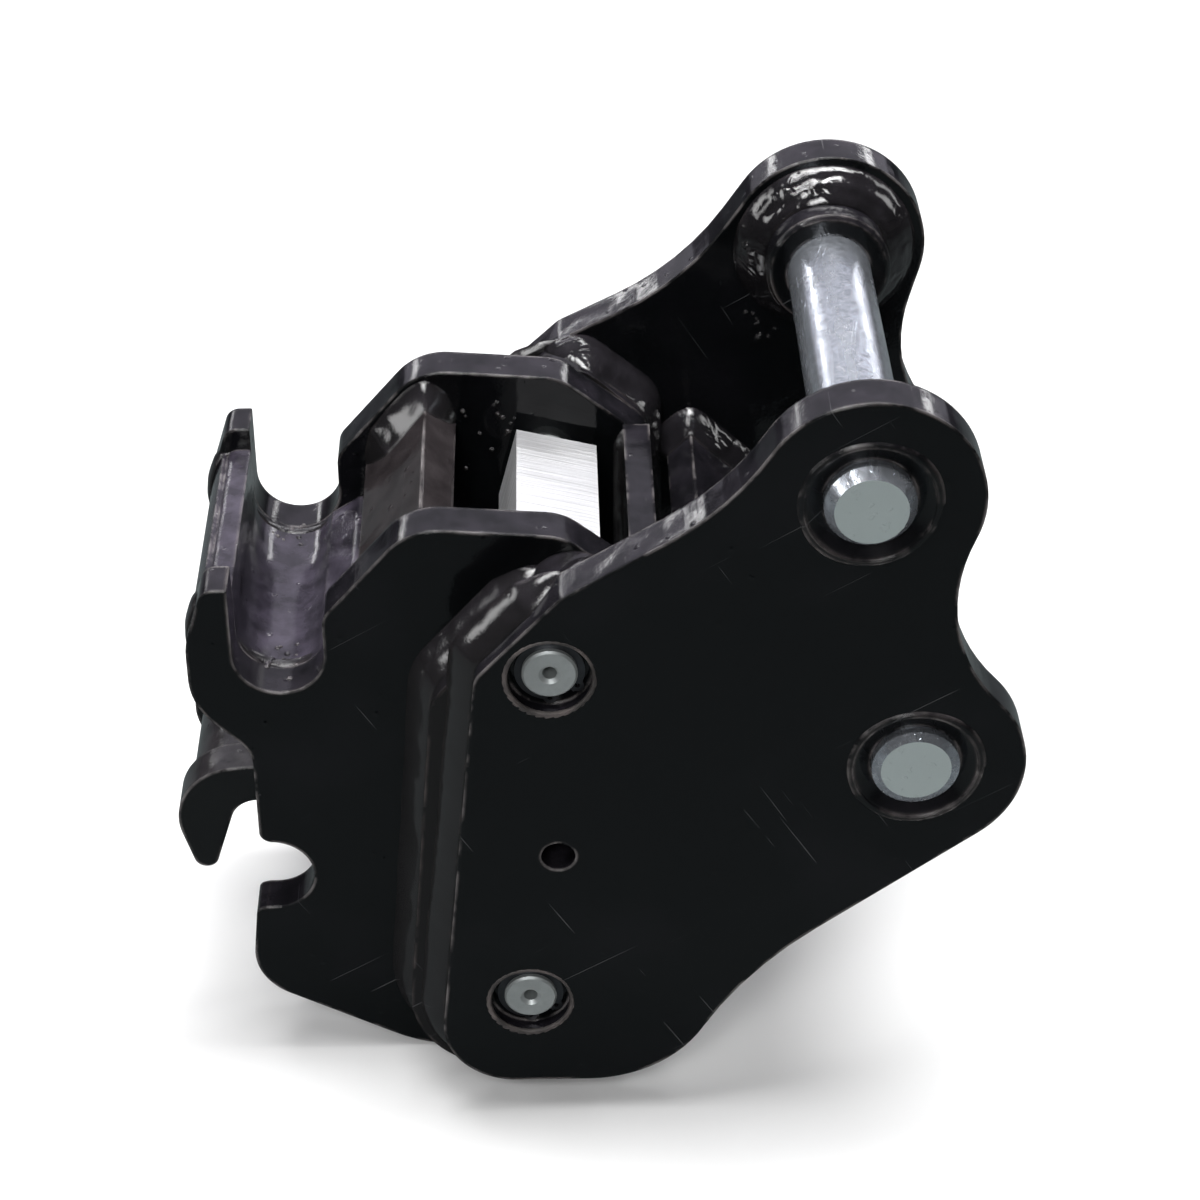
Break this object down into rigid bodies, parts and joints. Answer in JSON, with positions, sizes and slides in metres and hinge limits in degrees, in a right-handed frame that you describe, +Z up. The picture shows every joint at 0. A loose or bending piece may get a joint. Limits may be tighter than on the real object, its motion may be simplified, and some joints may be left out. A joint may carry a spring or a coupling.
{
  "type": "hydraulic quick coupler",
  "caption": "Black pin-grabber quick coupler for a mini excavator, with chromed arm pins, a fixed front hook and a hydraulic claw that locks a bucket pin in the rear jaw",
  "frame": {"origin": "middle of the bounding box in X and Y, on the lower edge of the body plates in Z", "axes": "X from the bucket side (-) to the arm side (+), Y along the pins, Z up"},
  "size_m": [0.396, 0.262, 0.403],
  "materials": {
    "frame_paint": "glossy black paint over flame-cut steel, worn to grey at the edges",
    "weld_paint": "glossy black paint over thick weld-in bosses",
    "claw_paint": "glossy black paint with rubbed edges",
    "chrome_pin": "hard-chromed pin, lightly scratched along its length",
    "zinc_steel": "zinc-plated turned steel",
    "milled_steel": "bright milled steel with fine parallel tool lines",
    "spring_steel": "dark phosphated spring steel",
    "rod_chrome": "polished hard-chromed rod",
    "bronze": "bearing bronze",
    "seal_black": "black nitrile rubber",
    "seal_blue": "blue polyurethane piston seal"
  },
  "bodies": {
    "frame": {"ear_near": "frame_paint", "ear_far": "frame_paint", "body_plate_near": "frame_paint", "body_plate_far": "frame_paint", "spacer_near": "frame_paint", "spacer_far": "frame_paint", "upper_boss_near": "weld_paint", "upper_boss_far": "weld_paint", "lower_boss_near": "weld_paint", "lower_boss_far": "weld_paint", "upper_arm_pin": "chrome_pin", "lower_arm_pin": "chrome_pin", "pin_lock_screws": "zinc_steel", "hook_saddle": "frame_paint", "front_cross_plate": "frame_paint", "rear_wall_plate": "frame_paint", "arm_side_plate": "frame_paint", "bottom_plate": "frame_paint", "claw_pivot_pin": "zinc_steel", "cylinder_pin": "zinc_steel", "pin_circlips": "spring_steel"},
    "claw": {"claw_cheek_near": "claw_paint", "claw_cheek_far": "claw_paint", "claw_nose": "claw_paint", "claw_bush_near": "bronze", "claw_bush_far": "bronze", "rod_pin": "zinc_steel", "rod_pin_rings": "spring_steel"},
    "cylinder": {"cylinder_block": "milled_steel", "cylinder_barrel": "frame_paint", "gland": "zinc_steel", "rod_wiper": "seal_black"},
    "rod": {"piston": "milled_steel", "piston_seal": "seal_blue", "piston_rod": "rod_chrome", "rod_eye": "claw_paint"}
  },
  "joints": [
    {"name": "claw_swing", "type": "hinge", "parent": "frame", "child": "claw", "pos_m": [-0.028, 0, 0.071], "axis": [0, 1, 0], "range_deg": [-3, 18]},
    {"name": "cylinder_swing", "type": "hinge", "parent": "frame", "child": "cylinder", "pos_m": [-0.017, 0, 0.263], "axis": [0, 1, 0], "range_deg": [-2.4, 0.5]},
    {"name": "rod_slide", "type": "slide", "parent": "cylinder", "child": "rod", "axis": [-0.2419, 0, -0.9703], "range_m": [-0.0105, 0.0019]}
  ],
  "couplings": [
    {"joint": "cylinder_swing", "follows": "claw_swing", "ratio": -0.1306},
    {"joint": "rod_slide", "follows": "claw_swing", "m_per_rad": -0.03275}
  ]
}
